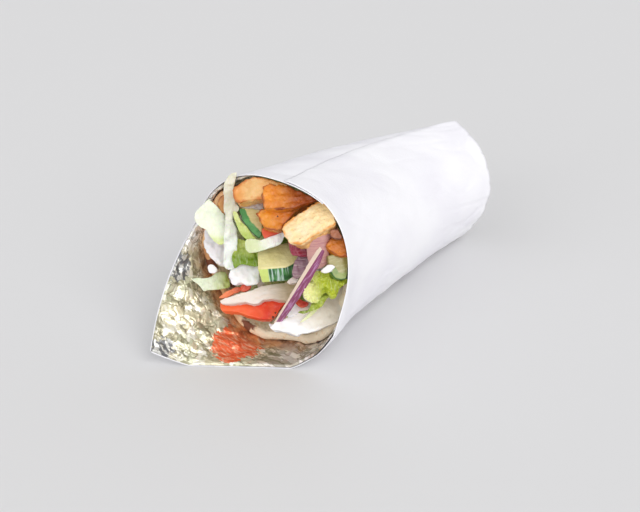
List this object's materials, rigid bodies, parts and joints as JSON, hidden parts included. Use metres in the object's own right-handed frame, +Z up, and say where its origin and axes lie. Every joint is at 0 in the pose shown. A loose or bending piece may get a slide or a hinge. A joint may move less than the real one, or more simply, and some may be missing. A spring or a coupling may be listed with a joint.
{
  "type": "gyro wrap",
  "caption": "Folded pita with salad, fries and white sauce, rolled in foil-lined white paper with an open mouth.",
  "frame": {"origin": "on the floor, under the middle of the whole wrap's box", "axes": "+Y runs from the open mouth to the folded tail, +X to the side where the sheet's free edge lies lower, +Z up"},
  "size_m": [0.0978, 0.1886, 0.088],
  "materials": {
    "white_paper": "matte, softly creased",
    "foil": "crumpled, mirror bright",
    "bread": "baked, matte, toasted in patches",
    "lettuce_pale": "moist, satin",
    "lettuce_green": "moist, satin",
    "fried_potato": "crisp, slightly oily",
    "cucumber": "wet, satin",
    "tomato": "wet, glossy",
    "red_onion": "wet, satin",
    "red_cabbage": "wet, satin",
    "chicken": "cooked, satin",
    "sauce": "creamy, satin"
  },
  "bodies": {
    "root": {"paper_wrapper": "white_paper", "foil_lining": "foil", "pita": "bread", "salad_core": "lettuce_pale", "fry_left": "fried_potato", "fry_brown": "fried_potato", "fry_big": "fried_potato", "fry_right": "fried_potato", "fry_orange": "fried_potato", "cucumber_front": "cucumber", "cucumber_left": "cucumber", "cucumber_right": "cucumber", "tomato_front": "tomato", "tomato_back": "tomato", "chicken_slice": "chicken", "onion_strip": "red_onion", "onion_layer": "red_onion", "cabbage_shred": "red_cabbage", "rib_tall": "lettuce_pale", "leaf_left": "lettuce_pale", "leaf_low": "lettuce_pale", "rib_curl": "lettuce_pale", "shred_right": "lettuce_pale", "leaf_mid": "lettuce_green", "leaf_right": "lettuce_green", "sauce_left": "sauce", "sauce_mid": "sauce", "sauce_low": "sauce"}
  },
  "joints": []
}
